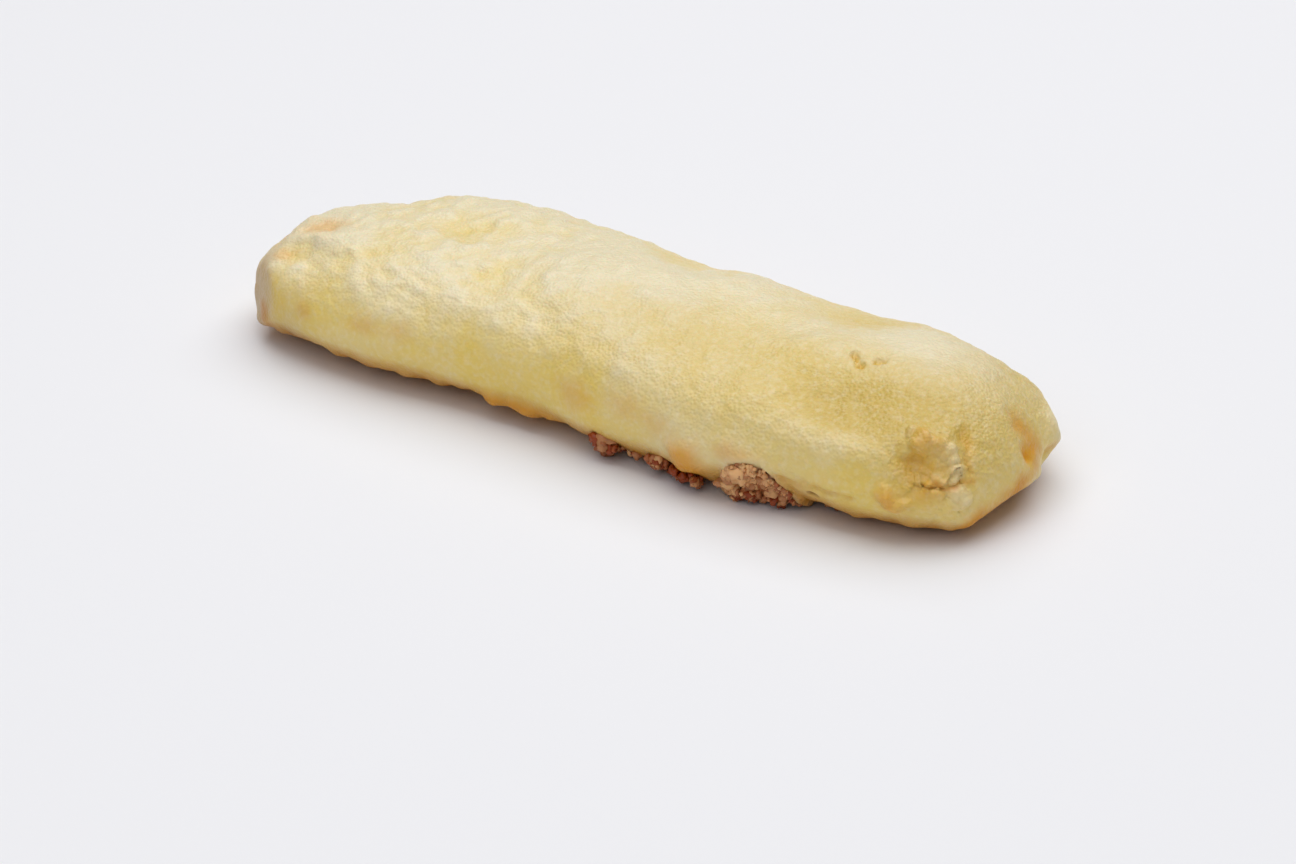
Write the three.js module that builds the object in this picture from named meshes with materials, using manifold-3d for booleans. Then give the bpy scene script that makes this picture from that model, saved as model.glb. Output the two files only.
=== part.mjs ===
// Battered and fried fish fillet: one long strip of white fish in a pale, puffed batter,
// with browned scraps of batter fused along the lower front edge and torn flakes at one end.
// Millimetres. +X runs along the strip to its rounded end, +Y to its back edge, +Z up.
// The origin lies on the resting plane, under the middle of the strip.
import * as THREE from "three";
import { mergeVertices } from "three/addons/utils/BufferGeometryUtils.js";
import Module from "manifold-3d";

// Driving dimensions of the strip
const LENGTH = 135;
const RIM_RADIUS = 8; // rounding from the long sides onto the blunt ends, along the strip
const RIM_REACH = 12; // half-depth of an end at which that rounding starts
const BELLY_SHARE = 0.42; // height of the widest line, as a share of the thickness there
const CROWN_POWER = 2.4; // superellipse power of the upper half of a section
const BASE_POWER = 2.5; // and of its flatter lower half

// Lines of the strip at stations along it: the plan edges, the crown and the underside.
// The underside dips below the resting plane, which cuts the flat that the strip lies on.
const STATIONS = [
  { x: -67.5, front: -13.5, back: 1.5, crown: 13.5, base: 2.5 },
  { x: -60, front: -17.5, back: 13, crown: 16.5, base: 1.5 },
  { x: -42, front: -20.5, back: 24, crown: 20, base: 0.4 },
  { x: -15, front: -21, back: 23, crown: 20.5, base: -0.6 },
  { x: 12, front: -23, back: 20.5, crown: 20, base: -0.6 },
  { x: 38, front: -24, back: 20.5, crown: 19.5, base: -0.6 },
  { x: 56, front: -22, back: 17, crown: 18.5, base: -0.6 },
  { x: 67.5, front: -16.5, back: 11, crown: 13.5, base: 0.8 },
];

// Swells (+) and hollows (-) of the puffed crust: place on the skin, reach along and across, height.
const SWELLS = [
  { at: [44, -14.5, 18], along: 11, across: 6.5, rise: -1.6 }, // broad hollow near the rounded end
  { at: [47, -22, 13.5], along: 11, across: 3.5, rise: 0.9 }, // ridge in front of it
  { at: [43, 4, 19.5], along: 9, across: 8, rise: 0.6 }, // shoulder behind it
  { at: [34, 11, 18.5], along: 7, across: 7, rise: -1.5 }, // dips and a bump of the back edge
  { at: [0, 13, 19], along: 7, across: 6, rise: -0.9 },
  { at: [11, 15, 17.5], along: 6, across: 6, rise: 0.4 },
  { at: [-50, 9, 19], along: 5, across: 7, rise: -0.9 },
  { at: [-3, -3.5, 20.5], along: 12, across: 8, rise: 0.5 }, // plateau in the middle
  { at: [-21, -10.5, 19.5], along: 5.5, across: 4, rise: -0.9 }, // dimples of the top
  { at: [-9, -14.5, 18], along: 5, across: 3, rise: -0.6 },
  { at: [-32, 2, 20.5], along: 9, across: 3.5, rise: -0.7 },
  { at: [-54, -13, 16.5], along: 7, across: 3, rise: -0.9 }, // furrow and pock of the blunt end
  { at: [-56, -5, 18], along: 3, across: 2.5, rise: -0.7 },
  { at: [22, -23.5, 6], along: 4, across: 4, rise: 0.6 }, // lump, lip and tear of the front side
  { at: [31, -24, 9], along: 7, across: 3, rise: 1 },
  { at: [33, -23, 4.5], along: 6, across: 2, rise: -0.7 },
  { at: [58, -16.5, 15.5], along: 3.5, across: 3.5, rise: 0.6 }, // craggy corner of the rounded end
  { at: [57.5, -20, 12.5], along: 3.5, across: 2, rise: -1.3 },
  { at: [62.5, -15.5, 2.5], along: 3, across: 3, rise: 0.6 },
  { at: [66.5, 7.5, 9], along: 4, across: 3.5, rise: 2.6 }, // far corner, notch and foot of that end
  { at: [67.5, 4, 5.5], along: 3, across: 2.5, rise: -1.6 },
  { at: [66, -4, 4], along: 4, across: 4.5, rise: 1.4 },
  { at: [-63, -14, 5], along: 4, across: 3.5, rise: 1.3 }, // foot of the cut end
];

// Flats of the ends, to which the skin is drawn in: a point of each and the way it faces.
const FLATS = [
  { at: [-58.8, -17, 10], facing: [-0.62, -0.78, 0.15] }, // the cut end: its face and the slope over it
  { at: [-65, -7, 12.6], facing: [-0.77, -0.07, 0.63] },
  { at: [58.3, 10.5, 14.8], facing: [0.27, 0.62, 0.74] }, // the rounded end, from its back edge to its front
  { at: [65.8, 8, 11.1], facing: [0.73, 0.62, 0.3] },
  { at: [66.2, -8, 4.1], facing: [0.65, -0.08, -0.76] },
];
const FLAT_EASE = 0.3; // rounding of a flat's edges

// Waves of the whole skin: length, direction from the strip's run in degrees, start and height.
const RIPPLES = [
  { length: 52, turn: 28, start: 1.1, rise: 0.28 },
  { length: 37, turn: -47, start: 4, rise: 0.22 },
  { length: 27, turn: 74, start: 2.3, rise: 0.18 },
  { length: 21, turn: -12, start: 5.2, rise: 0.16 },
  { length: 15, turn: 51, start: 0.4, rise: 0.12 },
];

// Flakes of torn batter on the craggy corner: the middle of each, sunk in the skin, and its radius.
const FLAKES = [
  { at: [56.8, -15, 14.4], radius: 2.1 },
  { at: [60.3, -14, 12.8], radius: 2 },
  { at: [61.2, -15.8, 9.4], radius: 1.9 },
  { at: [58.8, -17.8, 6.5], radius: 1.7 },
  { at: [54, -20.4, 9], radius: 1.9 },
];

// Browned scraps fused to the lower front edge: middle of each cluster along the strip and up from
// the resting plane, its half-size the same ways, how far its lumps stand out, their number and radius.
const SCRAPS = [
  { x: -14, z: 3.4, reach: [2.6, 0.3], proud: 0.2, lumps: 4, radius: 1 },
  { x: -7.5, z: 3, reach: [2.2, 0.3], proud: 0.2, lumps: 4, radius: 1 },
  { x: 6, z: 2.2, reach: [1.8, 0.4], proud: 0.6, lumps: 5, radius: 1.2 },
  { x: 15.8, z: 2.2, reach: [0.6, 0.5], proud: 0.5, lumps: 3, radius: 1.1 },
  { x: 20.5, z: 2, reach: [1.2, 0.4], proud: 0.7, lumps: 3, radius: 1.1 },
  { x: 28.5, z: 2.8, reach: [2.4, 0.8], proud: 0.8, lumps: 6, radius: 1.6 },
  { x: 33.5, z: 2.2, reach: [2.2, 0.7], proud: 1, lumps: 6, radius: 1.5 },
  { x: 38, z: 2.8, reach: [1.6, 0.6], proud: 0.6, lumps: 4, radius: 1.3 },
];

// Lumps, as flakes and scraps are made of: seed of their draws, and the ranges these come from.
const LUMP_SEED = 7;
const LUMP_STRETCH = 1.5; // length along the strip over height
const LUMP_CORNERS = [0.72, 1.28]; // corner distances over the radius
const LUMP_SIZES = [0.75, 1.15]; // radii of a scrap's lumps over the stated one
const LUMP_TURNS = [-0.6, 0.6]; // tilts along the strip, in radians

// Triangles: steps round a section and along the strip, and the distance within which corners are one.
const GIRTH_STEPS = 54;
const LENGTH_STEPS = 66;
const WELD = 1e-3;

const wasm = await Module();
wasm.setup();

// Value of one line at x: a cubic through the stations, sloped by each station's neighbours.
function line(name, x) {
  const last = STATIONS.length - 1;
  let i = 0;
  while (i < last - 1 && x > STATIONS[i + 1].x) i += 1;
  const slope = (k) => {
    const before = STATIONS[Math.max(k - 1, 0)];
    const after = STATIONS[Math.min(k + 1, last)];
    return (after[name] - before[name]) / (after.x - before.x);
  };
  const from = STATIONS[i];
  const to = STATIONS[i + 1];
  const run = to.x - from.x;
  const rise = to[name] - from[name];
  const t = (x - from.x) / run;
  const bend = (slope(i) * run - rise) * (1 - t) + (rise - slope(i + 1) * run) * t;
  return from[name] + rise * t + bend * t * (1 - t);
}

// The section at x: its middle and half-width across, and its crown, belly and base.
function section(x) {
  const [front, back, crown, base] = ["front", "back", "crown", "base"].map((name) => line(name, x));
  const belly = base + BELLY_SHARE * (crown - base);
  return { middle: (back + front) / 2, half: (back - front) / 2, crown, belly, base };
}

// Station and section scale at a share of the way from one end's middle, over both rims, to the other's.
function meridian(share) {
  const face = RIM_REACH - RIM_RADIUS;
  const arc = (Math.PI / 2) * RIM_RADIUS;
  const half = face + arc + LENGTH / 2 - RIM_RADIUS;
  const side = share < 0.5 ? -1 : 1;
  const run = 2 * half * Math.min(share, 1 - share);
  const turn = Math.min(Math.max(run - face, 0) / RIM_RADIUS, Math.PI / 2);
  const inward = RIM_RADIUS * (1 - Math.cos(turn)) + Math.max(run - face - arc, 0);
  return {
    x: side * (LENGTH / 2 - inward),
    scale: (Math.min(run, face) + RIM_RADIUS * Math.sin(turn)) / RIM_REACH,
  };
}

// Point of the smooth strip: girth is the share of the way round a section, from the back edge up and over.
function stripPoint(girth, share) {
  const { x, scale } = meridian(share);
  const { middle, half, crown, belly, base } = section(x);
  const angle = 2 * Math.PI * girth;
  const up = Math.sin(angle) > 0;
  const bulge = (value) => Math.sign(value) * Math.abs(value) ** (2 / (up ? CROWN_POWER : BASE_POWER));
  return new THREE.Vector3(
    x,
    middle + half * bulge(Math.cos(angle)) * scale,
    belly + (up ? crown - belly : belly - base) * bulge(Math.sin(angle)) * scale,
  );
}

// Front skin of the smooth strip below its belly, at a height over the resting plane.
function frontSkin(x, z) {
  const { middle, half, belly, base } = section(x);
  const drop = (belly - z) / (belly - base);
  return middle - half * (1 - drop ** BASE_POWER) ** (1 / BASE_POWER);
}

// Height of the crust's swells, hollows and ripples over the smooth strip at a point.
function relief(point) {
  let height = 0;
  for (const { at, along, across, rise } of SWELLS) {
    const far = (point.x - at[0]) / along;
    const aside = Math.hypot(point.y - at[1], point.z - at[2]) / across;
    height += rise * Math.exp(-far * far - aside * aside);
  }
  for (const { length, turn, start, rise } of RIPPLES) {
    const way = THREE.MathUtils.degToRad(turn);
    const run = point.x * Math.cos(way) + (point.y + point.z) * Math.sin(way);
    height += rise * Math.sin((2 * Math.PI * run) / length + start);
  }
  return height;
}

// Draws a point in to the flats that it stands out from, by the softened distance.
function flatten(point) {
  for (const { at, facing } of FLATS) {
    const way = new THREE.Vector3(...facing).normalize();
    const over = point.clone().sub(new THREE.Vector3(...at)).dot(way) / FLAT_EASE;
    const drawn = over > 0 ? over + Math.log1p(Math.exp(-over)) : Math.log1p(Math.exp(over));
    point.addScaledVector(way, -FLAT_EASE * drawn);
  }
}

// A geometry with only its places left, and one corner where several met.
function welded(geometry) {
  for (const name of ["normal", "uv"]) geometry.deleteAttribute(name);
  return mergeVertices(geometry, WELD);
}

// The strip's skin: a sphere's grid laid over the smooth strip, then raised by the relief.
function skinGeometry() {
  const grid = new THREE.SphereGeometry(1, GIRTH_STEPS, LENGTH_STEPS);
  const uv = grid.getAttribute("uv");
  for (let i = 0; i < uv.count; i += 1)
    grid.getAttribute("position").setXYZ(i, ...stripPoint(1 - uv.getX(i), 1 - uv.getY(i)));
  const skin = welded(grid);
  skin.computeVertexNormals();
  const place = skin.getAttribute("position");
  const point = new THREE.Vector3();
  const normal = new THREE.Vector3();
  for (let i = 0; i < place.count; i += 1) {
    point.fromBufferAttribute(place, i);
    normal.fromBufferAttribute(skin.getAttribute("normal"), i);
    point.addScaledVector(normal, relief(point));
    flatten(point);
    place.setXYZ(i, ...point);
  }
  return skin;
}

// A seeded draw from a range.
function draw([low, high]) {
  return THREE.MathUtils.lerp(low, high, THREE.MathUtils.seededRandom());
}

// A rough lump at a place: a long icosahedron whose corners stand in or out, tilted along the strip.
function lumpGeometry(at, radius) {
  const lump = welded(new THREE.IcosahedronGeometry(radius, 1));
  const place = lump.getAttribute("position");
  const corner = new THREE.Vector3();
  for (let i = 0; i < place.count; i += 1) {
    corner.fromBufferAttribute(place, i).multiplyScalar(draw(LUMP_CORNERS));
    place.setXYZ(i, ...corner);
  }
  return lump.scale(LUMP_STRETCH, 1, 1).rotateY(draw(LUMP_TURNS)).translate(...at);
}

// A closed geometry as a solid that can be joined and cut.
function solidOf(geometry) {
  const closed = welded(geometry);
  return new wasm.Manifold(
    new wasm.Mesh({
      numProp: 3,
      vertProperties: closed.getAttribute("position").array,
      triVerts: new Uint32Array(closed.index.array),
    }),
  );
}

// A solid as a geometry again.
function geometryOf(solid) {
  const { vertProperties, triVerts } = solid.getMesh();
  const geometry = new THREE.BufferGeometry();
  geometry.setAttribute("position", new THREE.BufferAttribute(vertProperties, 3));
  geometry.setIndex(new THREE.BufferAttribute(triVerts, 1));
  geometry.computeVertexNormals();
  return geometry;
}

// The whole fillet: the skin with its flakes and scraps fused on, cut flat on the resting plane.
function filletGeometry() {
  THREE.MathUtils.seededRandom(LUMP_SEED);
  let whole = solidOf(skinGeometry());
  for (const { at, radius } of FLAKES) whole = whole.add(solidOf(lumpGeometry(at, radius)));
  for (const { x, z, reach, proud, lumps, radius } of SCRAPS) {
    for (let k = 0; k < lumps; k += 1) {
      const along = x + draw([-reach[0], reach[0]]);
      const up = z + draw([-reach[1], reach[1]]);
      const at = [along, frontSkin(along, up) - proud, up];
      whole = whole.add(solidOf(lumpGeometry(at, radius * draw(LUMP_SIZES))));
    }
  }
  const below = new THREE.BoxGeometry(2 * LENGTH, LENGTH, LENGTH).translate(0, 0, -LENGTH / 2);
  return geometryOf(whole.subtract(solidOf(below)));
}

const batter = new THREE.MeshStandardMaterial({ color: 0xe0cd92, roughness: 0.6, metalness: 0 });

const fillet = new THREE.Group();
const crust = new THREE.Mesh(filletGeometry(), batter);
crust.name = "battered_fillet";
fillet.add(crust);

export default fillet;
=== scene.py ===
import bpy
import numpy as np
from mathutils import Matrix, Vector


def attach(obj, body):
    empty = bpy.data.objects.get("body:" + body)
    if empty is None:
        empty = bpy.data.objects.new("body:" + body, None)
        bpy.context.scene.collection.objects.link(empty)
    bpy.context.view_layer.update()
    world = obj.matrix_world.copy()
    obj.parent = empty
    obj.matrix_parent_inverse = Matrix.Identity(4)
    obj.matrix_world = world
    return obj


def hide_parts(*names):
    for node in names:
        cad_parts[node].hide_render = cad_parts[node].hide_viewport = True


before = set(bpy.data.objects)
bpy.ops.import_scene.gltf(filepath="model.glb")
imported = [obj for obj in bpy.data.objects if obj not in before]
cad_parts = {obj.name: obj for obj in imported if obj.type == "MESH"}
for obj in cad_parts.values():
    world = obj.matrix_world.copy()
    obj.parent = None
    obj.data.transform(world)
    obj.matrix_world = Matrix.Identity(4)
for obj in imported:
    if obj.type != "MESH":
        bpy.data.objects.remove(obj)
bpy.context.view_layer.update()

# The battered crust: flour and water poured over a strip of white fish and set in hot oil, which puffs
# it into swells and hollows. It closes round the fish, so it stands for the whole strip. Sizes are in
# millimetres, in the frame of the solid that it replaces.
MM = 0.001
LENGTH = 135
RIM_RADIUS = 8  # rounding from the long sides onto the blunt ends, along the strip
RIM_REACH = 12  # half-depth of an end at which that rounding starts
BELLY_SHARE = 0.42  # height of the widest line, as a share of the thickness there
CROWN_POWER = 2.4  # superellipse power of the upper half of a section
BASE_POWER = 2.5  # and of its flatter lower half

# Lines of the strip at stations along it: the plan edges, the crown and the underside
STATIONS = {
    "x": np.array([-67.5, -60, -42, -15, 12, 38, 56, 67.5]),
    "front": np.array([-13.5, -17.5, -20.5, -21, -23, -24, -22, -16.5]),
    "back": np.array([1.5, 13, 24, 23, 20.5, 20.5, 17, 11]),
    "crown": np.array([13.5, 16.5, 20, 20.5, 20, 19.5, 18.5, 13.5]),
    "base": np.array([2.5, 1.5, 0.4, -0.6, -0.6, -0.6, -0.6, 0.8]),
}

# Swells (+) and hollows (-): place on the skin, reach along and across, height
SWELLS = [
    ((44, -14.5, 18), 11, 6.5, -1.6),  # broad hollow near the rounded end
    ((47, -22, 13.5), 11, 3.5, 0.9),  # ridge in front of it
    ((43, 4, 19.5), 9, 8, 0.6),  # shoulder behind it
    ((34, 11, 18.5), 7, 7, -1.5),  # dips and a bump of the back edge
    ((0, 13, 19), 7, 6, -0.9),
    ((11, 15, 17.5), 6, 6, 0.4),
    ((-50, 9, 19), 5, 7, -0.9),
    ((-3, -3.5, 20.5), 12, 8, 0.5),  # plateau in the middle
    ((-21, -10.5, 19.5), 5.5, 4, -0.9),  # dimples of the top
    ((-9, -14.5, 18), 5, 3, -0.6),
    ((-32, 2, 20.5), 9, 3.5, -0.7),
    ((-54, -13, 16.5), 7, 3, -0.9),  # furrow and pock of the cut end
    ((-56, -5, 18), 3, 2.5, -0.7),
    ((22, -23.5, 6), 4, 4, 0.6),  # lump, lip and tear of the front side
    ((31, -24, 9), 7, 3, 1),
    ((33, -23, 4.5), 6, 2, -0.7),
    ((58, -16.5, 15.5), 3.5, 3.5, 0.6),  # craggy corner of the rounded end
    ((57.5, -20, 12.5), 3.5, 2, -1.3),
    ((62.5, -15.5, 2.5), 3, 3, 0.6),
    ((66.5, 7.5, 9), 4, 3.5, 2.6),  # far corner, notch and foot of that end
    ((67.5, 4, 5.5), 3, 2.5, -1.6),
    ((66, -4, 4), 4, 4.5, 1.4),
    ((-63, -14, 5), 4, 3.5, 1.3),  # foot of the cut end
]

# Flats of the ends, to which the skin is drawn in: a point of each and the way it faces
FLATS = [
    ((-58.8, -17, 10), (-0.62, -0.78, 0.15)),  # the cut end: its face and the slope over it
    ((-65, -7, 12.6), (-0.77, -0.07, 0.63)),
    ((58.3, 10.5, 14.8), (0.27, 0.62, 0.74)),  # the rounded end, from its back edge to its front
    ((65.8, 8, 11.1), (0.73, 0.62, 0.3)),
    ((66.2, -8, 4.1), (0.65, -0.08, -0.76)),
]
FLAT_EASE = 0.3  # rounding of a flat's edges

# Waves of the whole skin: length, direction from the strip's run in degrees, start and height
RIPPLES = [
    (52, 28, 1.1, 0.28),
    (37, -47, 4, 0.22),
    (27, 74, 2.3, 0.18),
    (21, -12, 5.2, 0.16),
    (15, 51, 0.4, 0.12),
]


def line_at(name, x):
    """One line of the strip at x: a cubic through the stations, sloped by each station's neighbours."""
    at, value = STATIONS["x"], STATIONS[name]
    before = np.maximum(np.arange(len(at)) - 1, 0)
    after = np.minimum(np.arange(len(at)) + 1, len(at) - 1)
    slope = (value[after] - value[before]) / (at[after] - at[before])
    i = np.clip(np.searchsorted(at, x) - 1, 0, len(at) - 2)
    run = at[i + 1] - at[i]
    rise = value[i + 1] - value[i]
    t = (x - at[i]) / run
    bend = (slope[i] * run - rise) * (1 - t) + (rise - slope[i + 1] * run) * t
    return value[i] + rise * t + bend * t * (1 - t)


def strip_surface(girth, share):
    """The smooth strip: superellipse sections, girth being the share of the way round one from the back
    edge up and over, carried along a meridian that runs over both rims, share being the way along it."""
    face = RIM_REACH - RIM_RADIUS
    arc = np.pi / 2 * RIM_RADIUS
    half_run = face + arc + LENGTH / 2 - RIM_RADIUS
    run = 2 * half_run * np.minimum(share, 1 - share)
    turn = np.clip((run - face) / RIM_RADIUS, 0, np.pi / 2)
    inward = RIM_RADIUS * (1 - np.cos(turn)) + np.maximum(run - face - arc, 0)
    x = np.sign(share - 0.5) * (LENGTH / 2 - inward)
    scale = (np.minimum(run, face) + RIM_RADIUS * np.sin(turn)) / RIM_REACH
    front, back, crown, base = (line_at(name, x) for name in ("front", "back", "crown", "base"))
    belly = base + BELLY_SHARE * (crown - base)
    across, up = np.cos(2 * np.pi * girth), np.sin(2 * np.pi * girth)
    power = 2 / np.where(up > 0, CROWN_POWER, BASE_POWER)
    depth = np.where(up > 0, crown - belly, belly - base)
    y = (back + front) / 2 + (back - front) / 2 * np.sign(across) * np.abs(across) ** power * scale
    z = belly + depth * np.sign(up) * np.abs(up) ** power * scale
    return np.stack(np.broadcast_arrays(x, y, z), -1)


def swollen(points):
    """Height of the swells, hollows and ripples: bell curves of the distance from each place, and sines
    of the distance along each ripple's direction."""
    height = np.zeros(points.shape[:-1])
    for at, along, across, rise in SWELLS:
        away = points - np.array(at)
        far = away[..., 0] / along
        aside = np.hypot(away[..., 1], away[..., 2]) / across
        height += rise * np.exp(-(far**2) - aside**2)
    for length, turn, start, rise in RIPPLES:
        way = np.radians(turn)
        run = points[..., 0] * np.cos(way) + (points[..., 1] + points[..., 2]) * np.sin(way)
        height += rise * np.sin(2 * np.pi * run / length + start)
    return height


def flattened(points):
    """Points drawn in to the flats: each goes back along a flat's facing by the softened distance that it
    stands out from it, which is the ease times log(1 + exp(distance / ease))."""
    for at, facing in FLATS:
        way = np.array(facing) / np.linalg.norm(facing)
        over = (points - np.array(at)) @ way
        points = points - FLAT_EASE * np.logaddexp(0, over / FLAT_EASE)[..., None] * way
    return points


def outward(points):
    """Unit normals of a grid of rings: the slope along the rings' row crossed with the slope round them."""
    along = np.gradient(points, axis=0)
    round_ring = np.roll(points, -1, 1) - np.roll(points, 1, 1)
    normal = np.cross(round_ring, along)
    return normal / np.maximum(np.linalg.norm(normal, axis=-1, keepdims=True), 1e-9)


def spot(points, at, reach):
    """A round bump of height 1: the bell curve of the distance from a place over the reach each way."""
    away = (points - np.array(at)) / np.array(reach)
    return np.exp(-(away**2).sum(-1))


def streak(points, route, width):
    """A ridge of height 1 along a route: the bell curve of the distance to its nearest stretch."""
    nearest = np.full(points.shape[:-1], np.inf)
    for start, end in zip(np.array(route[:-1], float), np.array(route[1:], float)):
        way = end - start
        share = np.clip(((points - start) @ way) / (way @ way), 0, 1)
        away = np.linalg.norm(points - start - share[..., None] * way, axis=-1)
        nearest = np.minimum(nearest, away)
    return np.exp(-((nearest / width) ** 2))


def uneven(points, size, seed):
    """Seeded smooth noise, about -1 to 1: random slopes at the corners of cells of one size, each times
    the distance from its corner, blended across the cell by a quintic fade."""
    slopes = np.random.default_rng(seed).normal(size=(4096, 3))
    slopes /= np.linalg.norm(slopes, axis=1, keepdims=True)
    low = np.floor(points / size).astype(int)
    part = points / size - low
    fade = part**3 * (part * (part * 6 - 15) + 10)
    total = np.zeros(points.shape[:-1])
    for corner in np.ndindex(2, 2, 2):
        place = (low + corner) * np.array([73856093, 19349663, 83492791])
        slope = slopes[(place[..., 0] ^ place[..., 1] ^ place[..., 2]) % len(slopes)]
        weight = np.where(corner, fade, 1 - fade).prod(-1)
        total += weight * (slope * (part - corner)).sum(-1)
    return 1.6 * total


def plates(points, low, high, count, seed):
    """Broken plates: seeded middles in a box each own the points nearest to them. Gives each point's height
    on its plate, which lies at its own level and tilt, and a number from 0 to 1 for the plate."""
    draws = np.random.default_rng(seed)
    middles = draws.uniform(low, high, (count, 3))
    nearest = ((points[..., None, :] - middles) ** 2).sum(-1).argmin(-1)
    level, kind = draws.uniform(-0.4, 0.4, count), draws.uniform(0, 1, count)
    tilt = draws.normal(0, 0.25, (count, 3))
    return level[nearest] + ((points - middles[nearest]) * tilt[nearest]).sum(-1), kind[nearest]


def step(value):
    """A soft step from 0 to 1 as the value goes from about -3 to 3."""
    return 0.5 + 0.5 * np.tanh(value / 2)


def spaced(count, places, weights):
    """Shares from 0 to 1, packed as closely as the weights at the given shares ask."""
    fine = np.linspace(0, 1, 2001)
    packed = np.concatenate([[0], np.cumsum(np.interp(fine, places, weights)[1:])])
    return np.interp(np.linspace(0, 1, count), packed / packed[-1], fine)


def closed_mesh(name, rings, ends):
    """A mesh of closed forms, each a stack of rings of points with an end point before and after: quads
    between neighbouring rings, and a fan of triangles from each end point to its ring."""
    forms, rows, columns = rings.shape[:3]
    points = np.concatenate([ends[:, :1], rings.reshape(forms, rows * columns, 3), ends[:, 1:]], 1)
    ring = 1 + np.arange(rows)[:, None] * columns + np.arange(columns)
    side = np.roll(ring, -1, 1)
    quads = np.stack([ring[:-1], ring[1:], side[1:], side[:-1]], -1).reshape(-1, 4)
    first = np.stack([np.zeros(columns, int), ring[0], side[0]], -1)
    last = np.stack([np.full(columns, rows * columns + 1), side[-1], ring[-1]], -1)
    offset = np.arange(forms)[:, None, None] * points.shape[1]
    faces = (offset + quads).reshape(-1, 4).tolist()
    faces += (offset + np.concatenate([first, last])).reshape(-1, 3).tolist()
    mesh = bpy.data.meshes.new(name)
    mesh.from_pydata((points.reshape(-1, 3) * MM).tolist(), [], faces)
    mesh.shade_smooth()
    piece = bpy.data.objects.new(name, mesh)
    bpy.context.scene.collection.objects.link(piece)
    return piece


def paint(piece, name, rings, ends):
    """Puts one number for each point of a closed mesh into a named attribute, in the mesh's order."""
    forms = len(rings)
    values = np.concatenate([ends[:, :1], rings.reshape(forms, -1), ends[:, 1:]], 1)
    values = np.clip(values, 0, 1).ravel()
    piece.data.attributes.new(name, "FLOAT", "POINT").data.foreach_set("value", values)


# Rows are packed towards the torn end, and columns away from the underside
ROWS, COLUMNS = 400, 236
share = spaced(ROWS + 2, [0, 0.6, 0.7, 0.82, 0.86, 0.97, 1], [1, 1, 1.6, 1.6, 2.6, 2.6, 1.5])[1:-1]
girth = spaced(
    COLUMNS + 1,
    [0, 0.1, 0.3, 0.4, 0.58, 0.66, 0.88, 1],
    [0.7, 0.7, 1, 1.4, 1.4, 0.3, 0.3, 0.7],
)[:-1]
smooth = strip_surface(girth[None, :], share[:, None])
swell = swollen(smooth)
skin = flattened(smooth + outward(smooth) * swell[..., None])
lean = outward(skin)
facing_front = np.clip(-2 * lean[..., 1], 0, 1)
facing_up = np.clip(lean[..., 2], 0, 1)

# Places on the skin that stray by up to about 1 mm, so that what is laid on them has ragged edges
STRAY, STRAY_CELL = 0.8, 2.6
ragged = skin + STRAY * np.stack([uneven(skin, STRAY_CELL, seed) for seed in (21, 22, 23)], -1)

# Fine relief over that form: pebbles where the batter blistered, most on the top towards the cut end, and
# a scalloped lower edge. Cells of the broad unevenness, the pebbles, the beads on them and the grit.
BROAD, PEBBLE, BEAD, GRIT = 9, 3.4, 1.9, 1.3
EDGE_LEVEL, EDGE_REACH, SCALLOP = 2.6, 1.8, 2.6
blistered = 0.45 + 0.55 * step(-(skin[..., 0] + 10) / 9)
pebbled = blistered * (0.35 + 0.65 * facing_up)
pebbles = 0.5 * np.clip(uneven(skin, PEBBLE, 12), -0.15, 1) + 0.26 * uneven(skin, BEAD, 13)
height = 0.28 * uneven(skin, BROAD, 11) + pebbled * pebbles + 0.06 * uneven(skin, GRIT, 15)
lower_edge = np.exp(-(((skin[..., 2] - EDGE_LEVEL) / EDGE_REACH) ** 2)) * facing_front
height += 0.8 * lower_edge * blistered * uneven(skin * np.array([1, 0.4, 0.4]), SCALLOP, 14)

# Tones of the batter, from 0 to 1. It is palest where it faces up and on its swells and pebbles, which is a
# painted sheen of the light from above, and yellow on its sides. Darker yellow on the top, in its hollows, on
# its front half and towards the rounded end, is painted shade, and the front is painted darker where it faces
# down. It is golden to brown underneath.
cloudy = uneven(skin, 14, 31) + 0.6 * uneven(skin, 6, 32)
streaky = uneven(skin * np.array([1, 0.3, 0.3]), 4.5, 33)
front_half = step((skin[..., 0] + 4) / 6) * step(-(skin[..., 1] + 4) / 2.5)
round_end = step((skin[..., 0] - 38) / 6)
tip = step((skin[..., 0] - 52) / 3)
cut_face = step(-(skin[..., 0] + 57.5) / 1.2) * np.clip(-2.4 * lean[..., 0] - 0.6, 0, 1) * facing_front
under = np.clip(-1.6 * lean[..., 2] - 0.4, 0, 1)
# Painted sheen: the yellow thins to cream where the skin faces up and on the tops of swells and pebbles
yellow = 0.88 - facing_up**2 * (0.85 - 0.35 * front_half) - 0.3 * swell - 0.65 * pebbled * pebbles
yellow += 0.2 * cloudy + 0.2 * facing_front * streaky - 0.3 * cut_face
# Painted shade: darker yellow on the top, in its hollows, on its front half and towards the rounded end
top_shade = 0.15 * round_end + 0.48 * front_half + 0.6 * tip - (0.1 + 0.4 * round_end) * swell
top_shade = facing_up * (top_shade + 0.12 * cloudy - 0.4 * pebbled * pebbles)
gold = under + 0.25 * cut_face
brown_and_shade = 0.2 * under + 0.25 * cut_face + 0.22 * step(-(skin[..., 0] + 49) / 2) * facing_front * (1 - facing_up)
# Painted shade: the front is browned darker where it faces down
brown_and_shade += 0.12 * facing_front * np.clip(-1.5 * lean[..., 2], 0, 1)
white_and_sheen = np.zeros((ROWS, COLUMNS))

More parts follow.
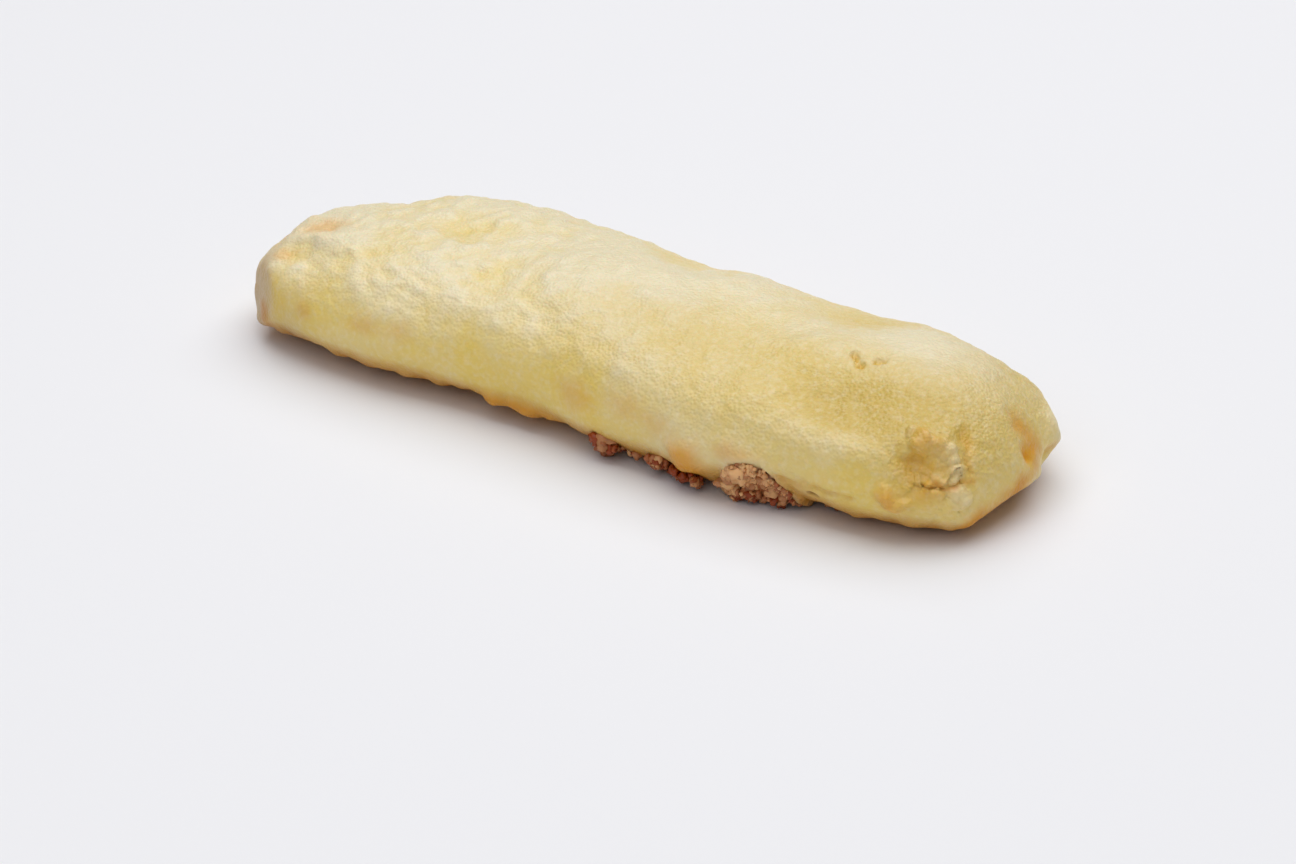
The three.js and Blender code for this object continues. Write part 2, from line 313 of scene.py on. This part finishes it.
# Marks of the crust: place, reach, height, how golden, how white
MARKS = [
    ((-56.4, -4.8, 17.6), (4, 3, 2.4), -0.4, 0.5, 0),  # cut end: browned pock, pale bumps, worn corner
    ((-54.7, -8.9, 17.7), (2.6, 1.2, 1.6), 0.6, 0, 0.6),
    ((-47.9, -11, 17.8), (2.4, 1.4, 1.6), 0.5, 0, 0.5),
    ((-58.7, -12.5, 14.8), (2, 1.5, 1.5), 0.2, 0.4, 0),
    ((-60.4, -16.6, 6), (2.5, 2.5, 1.8), 0.2, 0.65, 0),
    ((-38, -20.6, 11.1), (3, 3, 1.6), 0, 0.3, 0),  # golden patches of the front
    ((-31.8, -20.5, 11.8), (2.4, 3, 1.6), 0, 0.22, 0),
    ((-50.1, -19.5, 10.1), (1.6, 3, 1.2), 0.1, 0.35, 0),
    ((2, -22.1, 10.2), (3.4, 3, 2.4), 0.1, 0.35, 0),
    ((11.2, -23, 11.4), (3, 3, 2), 0.1, 0.25, 0),
    ((16.7, -23.6, 9.9), (2.4, 3, 2), 0.1, 0.25, 0),
    ((22.4, -24.2, 6.6), (2.9, 3, 2.7), 1.3, 0.9, 0),  # browned lump over the scraps
    ((30.9, -24.8, 9.6), (3.6, 3, 1.6), 0.2, 0.45, 0),
    ((58, -17, 15.3), (2.6, 2.2, 1.8), 0.2, 0.12, 0),  # torn corner: lumps and the recess between them
    ((57.6, -20, 11), (4, 3, 3.6), 0, 0.18, 0),
    ((56.6, -19.3, 12.8), (2.2, 1.6, 1), -0.8, 0.2, 0),
    ((54.3, -22.2, 8.3), (1.9, 2, 1.9), 0.6, 0.35, 0),
    ((56, -21.8, 6.6), (1.8, 2, 1.5), 0.4, 0.25, 0),
    ((59.2, -20.5, 8.6), (2, 2, 1.4), 0.3, 0.2, 0),
    ((64.3, -15.9, 3.8), (1.6, 1.6, 1.6), 0.5, 0.7, 0),
    ((45.8, -21, 14.2), (6, 2.5, 1.8), 0.1, 0, 0.15),  # ridge in front of the hollow, whitened as a painted sheen
    ((67, -3.6, 10), (1.6, 2, 1.4), -0.4, 0.7, 0),  # pit of the rounded end
]
for at, reach, rise, golden, pale in MARKS:
    near = spot(ragged, at, reach)
    patch = np.clip(1.3 * near - 0.08, 0, 1)
    height += rise * near
    gold += golden * patch
    white_and_sheen += pale * patch

# Folds and cracks: route, width, height, how golden, how brown
FOLDS = [
    ([(-15.7, -19.6, 4.1), (-9.9, -19.5, 3.9), (-5, -19.6, 3)], 1.3, 1.5, 0.7, -0.1),  # browned lower edge
    ([(8, -19.5, 1.9), (14, -20.2, 1.9), (25, -20.8, 1.9)], 1, 0.4, 0.3, 0.6),
    ([(61.8, -13.4, 14.4), (63.4, -14.8, 11.6)], 0.8, -0.35, 0.25, 0),  # torn corner
    ([(60.2, -19.1, 10.6), (61.4, -18.7, 9.8), (62.6, -17.8, 9.4)], 0.5, -0.1, 0.55, 0.05),
    ([(62.6, -17.8, 9.4), (63.3, -17.1, 10.2), (64.2, -14.9, 10.2)], 0.5, -0.1, 0.45, 0.05),
    ([(64.8, -2.3, 13.5), (66.4, -1.3, 11.5), (67.4, -0.6, 9.2)], 1.8, -0.3, 0.65, 0.08),  # crease of the end
    ([(65.3, -14.9, 4.6), (66.8, -11.5, 5.2), (67.8, -7.5, 6.4)], 1.6, 0, 0.6, 0.05),  # its browned rim
    ([(67.8, -7.5, 6.4), (68.1, -2.9, 7.6)], 1.6, 0, 0.6, 0.05),
    ([(36.8, -23.5, 6.7), (40.8, -23.4, 6.8), (48.8, -23.3, 6.4)], 0.6, -0.5, 0.3, 0),  # seam of the front
    ([(41.9, -23, 5.5), (43.3, -23, 5.3)], 0.3, -0.7, 0, 0.8),
]
for route, width, rise, golden, browned in FOLDS:
    near = streak(skin + 0.8 * (ragged - skin), route, width)
    height += rise * near
    gold += golden * near
    brown_and_shade += browned * near

# Torn corner: the crust broke into plates there, and flakes of fish and crust stand on them. Place, radius,
# how golden and how white.
FLAKES = [
    ((57.2, -17.5, 15.2), 2, 0.26, 0),  # golden lump
    ((58.7, -16.8, 15), 1.9, 0.2, 0),
    ((59.4, -16.4, 14.2), 1.4, 0.15, 0.1),
    ((55, -16.9, 16), 1.2, 0.1, 0.2),
    ((60.3, -15.8, 14.4), 1.2, 0, 0.4),  # standing pale flakes
    ((61.2, -16.4, 13.3), 1.4, 0, 0.5),
    ((62, -17, 12.1), 1.4, 0, 0.5),
    ((62.5, -17.5, 10.9), 1.2, 0, 0.4),
    ((62.5, -17.9, 8.5), 1.4, 0, 0.55),  # pale flakes under the crack
    ((63.7, -17.1, 8.2), 1.6, 0, 0.6),
    ((63.3, -17.4, 7.2), 1.3, 0.1, 0.4),
    ((60.2, -19.1, 11.4), 1.1, 0.2, 0.1),
    ((61.2, -18.5, 11), 1, 0.1, 0.2),
    ((59.4, -19.7, 9.8), 1.2, 0.3, 0),
    ((60.4, -19.3, 9), 1.3, 0.2, 0.1),
    ((54, -22.3, 8.8), 1.7, 0.35, 0),  # browned lumps of the lower edge
    ((54.7, -22.2, 7.8), 1.6, 0.3, 0),
    ((55.7, -21.9, 7), 1.5, 0.15, 0),
    ((57.2, -21.4, 7.4), 1.2, 0.1, 0),
]
torn = np.clip(1.6 * spot(skin, (60, -18, 10.5), (4.6, 4, 4.6)), 0, 1)
plate, kind = plates(ragged, (54, -24, 4), (67, -11, 17), 90, 44)
height += torn * (0.36 * plate + 0.22 * uneven(skin, 1.1, 42))
gold += torn * 0.22 * kind
flaked = np.zeros((3, ROWS, COLUMNS))
for at, radius, golden, pale in FLAKES:
    away = np.linalg.norm(ragged - np.array(at), axis=-1) / radius
    dome = np.clip(1 - away**2, 0, 1)
    flaked = np.maximum(flaked, dome * np.array([0.55 * radius, golden, pale])[:, None, None])
height += flaked[0]
gold += flaked[1]
white_and_sheen += flaked[2]

# Split over the front's lower edge: the batter stands out in a lip, and the browned crumb shows under it
SPLIT_X = [26.8, 28.2, 30.5, 32.6, 34.8, 36.4, 38.6, 40]
SPLIT_Z = [0.6, 5, 7.9, 8.3, 8.4, 6.5, 3.4, 0.6]
edge = np.interp(ragged[..., 0], SPLIT_X, SPLIT_Z)
over_edge = ragged[..., 2] - edge
opened = facing_front * (edge > 0.7)
split = opened * step(-over_edge / 0.22)
lip = opened * np.exp(-(((over_edge - 0.7) / 0.8) ** 2))
foot = opened * np.exp(-(((skin[..., 2] - 1.2) / 1.6) ** 2))
height += 0.3 * lip - split * (0.3 - 0.6 * uneven(skin, 1.7, 51) - 0.4 * uneven(skin, 0.9, 52))
height += 1.8 * foot
gold *= 1 - split
white_and_sheen += 0.25 * lip
brown_and_shade += split * (0.85 + 0.25 * uneven(skin, 1.5, 53))

# Burst bubbles in the hollow near the rounded end, and in that end: place, radius and depth
PITS = [
    ((39.5, -5.3, 19.5), 0.5, 1.7),
    ((40.3, -5.9, 19.4), 0.5, 1.8),
    ((41.4, -6.9, 19.3), 0.6, 1.8),
    ((43.5, -5.5, 19.5), 0.55, 1.7),
    ((44.4, -5.1, 19.5), 0.45, 1.5),
    ((61.4, -12.4, 15), 1.1, 0.4),
    ((67.4, -4.1, 9.7), 0.9, 0.6),
]
for at, radius, depth in PITS:
    near = spot(skin + 0.7 * (ragged - skin), at, (radius, radius, 2 * radius))
    height -= depth * near
    yellow += 1.2 * near
    gold += 0.3 * near

skin = skin + lean * height[..., None]
skin[..., 2] = np.maximum(skin[..., 2], 0)
poles = np.stack([skin[0].mean(0), skin[-1].mean(0)])
crust = closed_mesh("batter_crust", skin[None], poles[None])
tones = {"yellow": yellow, "top_shade": top_shade, "gold": gold, "brown_and_shade": brown_and_shade, "white_and_sheen": white_and_sheen}
for name, tone in tones.items():
    paint(crust, name, tone[None], np.array([[tone[0].mean(), tone[-1].mean()]]))


def linear(code):
    """A colour as Cycles reads it, from its sRGB hex code."""
    srgb = np.array([int(code[i : i + 2], 16) for i in (1, 3, 5)]) / 255
    return (*np.where(srgb <= 0.04045, srgb / 12.92, ((srgb + 0.055) / 1.055) ** 2.4), 1)


def node(tree, kind, values={}, links={}, **settings):
    """Adds one shader node with its settings, the values of its free sockets and the links to the rest."""
    made = tree.nodes.new(kind)
    for name, value in settings.items():
        setattr(made, name, value)
    for socket, value in values.items():
        made.inputs[socket].default_value = value
    for socket, source in links.items():
        tree.links.new(source, made.inputs[socket])
    return made


# Fried wheat batter: a dry, blistered, slightly translucent crust with a trace of oil. Pale cream where it
# puffed up and faces up, partly a painted sheen of the light from above, darker yellow on the top as painted
# shade, yellow on its sides, golden to brown where the oil caught it, and painted darker where the front
# faces down.
GRAIN, GRAIN_DEPTH = 0.5, 0.24  # cells and depth of the fine grain
SPECKLE, SPECKLED = 0.9, 0.2  # cells of the dry specks, which are partly painted glints, and how far they whiten the skin
OILED = {"Roughness": 0.4, "IOR": 1.45, "Subsurface Weight": 0.1, "Subsurface Scale": 1 * MM}
CREAM = "#EADDB8"
SHADES = {
    "yellow": "#F0D26C",
    # Darker yellow, laid on the top as painted shade
    "top_shade": "#CEB056",
    "specks_and_glints": "#FBF4E0",
    "gold": "#E09C20",
    "brown_and_shade": "#7A4522",
    "white_and_sheen": "#F0DFB4",
}
batter = bpy.data.materials.new("fried_wheat_batter")
batter.use_nodes = True
tree = batter.node_tree
tree.nodes.clear()
place = node(tree, "ShaderNodeTexCoord").outputs["Object"]
# Dry flour specks that are partly painted glints: small painted highlights whitening the skin
specks_and_glints = node(tree, "ShaderNodeTexNoise", {"Scale": 1 / (SPECKLE * MM), "Detail": 2}, {"Vector": place})
speck = node(
    tree,
    "ShaderNodeMapRange",
    {"From Min": 0.45, "From Max": 0.75, "To Min": 0, "To Max": SPECKLED},
    {"Value": specks_and_glints.outputs["Fac"]},
)
amounts = {name: node(tree, "ShaderNodeAttribute", attribute_name=name).outputs["Fac"] for name in tones}
amounts["specks_and_glints"] = speck.outputs[0]

# Each shade is laid over those before it, from the cream up
values, links = {6: linear(CREAM)}, {}
for name, code in SHADES.items():
    values[7] = linear(code)
    links[0] = amounts[name]
    mix = node(tree, "ShaderNodeMix", values, links, data_type="RGBA")
    values, links = {}, {6: mix.outputs[2]}
grain = node(
    tree,
    "ShaderNodeTexVoronoi",
    {"Scale": 1 / (GRAIN * MM), "Smoothness": 0.6},
    {"Vector": place},
    feature="SMOOTH_F1",
)
bump = node(
    tree,
    "ShaderNodeBump",
    {"Strength": 0.55, "Distance": GRAIN_DEPTH * MM},
    {"Height": grain.outputs["Distance"]},
    invert=True,
)
surface = node(
    tree,
    "ShaderNodeBsdfPrincipled",
    OILED,
    {"Base Color": mix.outputs[2], "Normal": bump.outputs[0]},
)
node(tree, "ShaderNodeOutputMaterial", {}, {"Surface": surface.outputs[0]})
crust.data.materials.append(batter)
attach(crust, "root")
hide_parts("battered_fillet")

# Browned scraps: drips and crumbs of batter that broke off in the oil, fried dark and stuck along the lower
# front edge and in the split. Clusters: middle along the strip and up, half-size the same ways, how far the
# crumbs pile up forwards, their number, their radius and how dark they are.
CLUSTERS = [
    (6.5, 2.8, 1.6, 0.6, 0.9, 8, 1.2, 0.95),
    (6.5, 2.6, 2.2, 0.9, 2, 50, 0.6, 0.9),
    (11, 1.7, 3.5, 0.3, 0.5, 18, 0.5, 0.9),
    (15.9, 2.4, 0.9, 0.8, 0.8, 6, 1.1, 0.95),
    (16, 2.3, 1.2, 0.9, 1.8, 36, 0.6, 0.95),
    (20.6, 1.8, 2, 0.5, 0.9, 8, 1.1, 1),
    (20.8, 1.9, 2.6, 0.9, 2, 60, 0.6, 1),
    (28.3, 2.4, 0.9, 1.2, 1, 12, 0.8, 0.2),
    (31.8, 4.8, 3, 2, 0.2, 14, 1.1, 0.3),
    (31.8, 5.6, 3.4, 2.6, 0.5, 280, 0.42, 0.15),
    (35.6, 3.4, 2.6, 1.6, 0.2, 8, 1.1, 0.6),
    (35.6, 3.4, 2.8, 2, 0.5, 200, 0.42, 0.65),
    (32.5, 1.4, 4.4, 0.8, 1.4, 120, 0.55, 0.7),
    (42, 1.2, 3, 0.3, 0.3, 12, 0.5, 0.6),
]


def lump_surface(middles, radii, rows, columns, roughness, seed):
    """Lumps: balls of latitude rings and their two end points, each pushed in or out by seeded noise of
    its direction and of the place of its middle."""
    tilt = np.linspace(np.pi, 0, rows + 2)[:, None]
    turn = np.linspace(0, 2 * np.pi, columns, endpoint=False)
    across = np.sin(tilt)
    way = np.stack(np.broadcast_arrays(across * np.cos(turn), across * np.sin(turn), np.cos(tilt)), -1)
    rough = 1 + roughness * uneven(way + 7 * middles[:, None, None], 0.9, seed)
    balls = middles[:, None, None] + radii[:, None, None, None] * rough[..., None] * way
    balls[..., 2] = np.maximum(balls[..., 2], 0)
    return balls[:, 1:-1], balls[:, [0, -1], 0]


CRUMB_ROWS, CRUMB_COLUMNS, CRUMB_ROUGHNESS = 6, 8, 0.9
draws = np.random.default_rng(5)
middles, radii, darkness = [], [], []
front_points = skin[facing_front > 0.4]
for x, z, along, up, pile, count, radius, dark in CLUSTERS:
    wanted = np.array([x, z]) + np.array([along, up]) * np.clip(draws.normal(0, 0.55, (count, 2)), -1, 1)
    wanted[:, 1] = np.minimum(wanted[:, 1], np.maximum(np.interp(wanted[:, 0], SPLIT_X, SPLIT_Z) - 0.3, 4))
    nearest = ((front_points[None, :, ::2] - wanted[:, None]) ** 2).sum(-1).argmin(1)
    forward = pile * draws.uniform(0, 1, count)
    middles.append(front_points[nearest] - np.array([0, 1, 0]) * forward[:, None])
    radii.append(radius * draws.uniform(0.4, 1.4, count))
    darkness.append(dark + draws.normal(0, 0.32, count))
middles, radii, darkness = (np.concatenate(parts) for parts in (middles, radii, darkness))
middles[:, 2] = np.maximum(middles[:, 2], 0.8 * radii)
rings, ends = lump_surface(middles, radii, CRUMB_ROWS, CRUMB_COLUMNS, CRUMB_ROUGHNESS, 61)
scraps = closed_mesh("fried_scraps", rings, ends)
dark = np.broadcast_to(darkness[:, None, None], rings.shape[:3])
paint(scraps, "dark", dark, dark[:, 0, :2])

# Browned batter: the same crust fried longer, amber to dark brown from crumb to crumb, with the same oil
AMBER, BROWN = "#F4BC80", "#963E0C"
browned = bpy.data.materials.new("browned_batter")
browned.use_nodes = True
tree = browned.node_tree
tree.nodes.clear()
amount = node(tree, "ShaderNodeAttribute", attribute_name="dark").outputs["Fac"]
tone = node(tree, "ShaderNodeMix", {6: linear(AMBER), 7: linear(BROWN)}, {0: amount}, data_type="RGBA")
surface = node(tree, "ShaderNodeBsdfPrincipled", OILED, {"Base Color": tone.outputs[2]})
node(tree, "ShaderNodeOutputMaterial", {}, {"Surface": surface.outputs[0]})
scraps.data.materials.append(browned)
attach(scraps, "root")

# The floor: a plain pale board that the strip lies on, with soft studio light from above and a weak fill
# from the front, and the camera at the photograph's angle.
FLOOR_SIZE = 4000
FLOOR_DROP = 0.05
corners = np.array([[-1, -1], [1, -1], [1, 1], [-1, 1]]) * FLOOR_SIZE / 2
sheet = bpy.data.meshes.new("floor")
sheet.from_pydata([(x * MM, y * MM, -FLOOR_DROP * MM) for x, y in corners], [], [(0, 1, 2, 3)])
floor = bpy.data.objects.new("floor", sheet)
bpy.context.scene.collection.objects.link(floor)

# Matt white board: even and pale, with hardly any gloss
paper = bpy.data.materials.new("matt_white_board")
paper.use_nodes = True
board = paper.node_tree.nodes["Principled BSDF"]
board.inputs["Base Color"].default_value = linear("#EDEDF0")
board.inputs["Roughness"].default_value = 0.8
board.inputs["Specular IOR Level"].default_value = 0.2
sheet.materials.append(paper)

world = bpy.data.worlds.new("studio")
world.use_nodes = True
air = world.node_tree.nodes["Background"]
air.inputs["Color"].default_value = linear("#FAFBFF")
air.inputs["Strength"].default_value = 0.14
bpy.context.scene.world = world
bpy.context.scene.view_settings.view_transform = "Standard"

# Soft boxes: place and width in metres, and power; both point at the strip
BOXES = [((-0.04, 0.32, 1.1), 1.6, 15.6), ((0.1, -0.75, 1), 1.2, 4.8)]
for number, (where, width, power) in enumerate(BOXES):
    soft_box = bpy.data.lights.new(f"soft_box_{number}", "AREA")
    soft_box.size = width
    soft_box.energy = power
    light = bpy.data.objects.new(soft_box.name, soft_box)
    light.location = where
    light.rotation_euler = (-light.location).to_track_quat("-Z", "Y").to_euler()
    bpy.context.scene.collection.objects.link(light)

# Camera: its turn from the strip's front, its height above the floor's plane, distance, aim and lens
AZIMUTH, ELEVATION = np.radians(31), np.radians(28)
DISTANCE = 467
AIM = Vector((7.4, -10.1, 0))
LENS = 85
back_way = Vector((
    np.sin(AZIMUTH) * np.cos(ELEVATION),
    -np.cos(AZIMUTH) * np.cos(ELEVATION),
    np.sin(ELEVATION),
))
lens = bpy.data.cameras.new("camera")
lens.lens = LENS
camera = bpy.data.objects.new("camera", lens)
camera.location = (AIM + DISTANCE * back_way) * MM
camera.rotation_euler = (-back_way).to_track_quat("-Z", "Y").to_euler()
bpy.context.scene.collection.objects.link(camera)
bpy.context.scene.camera = camera
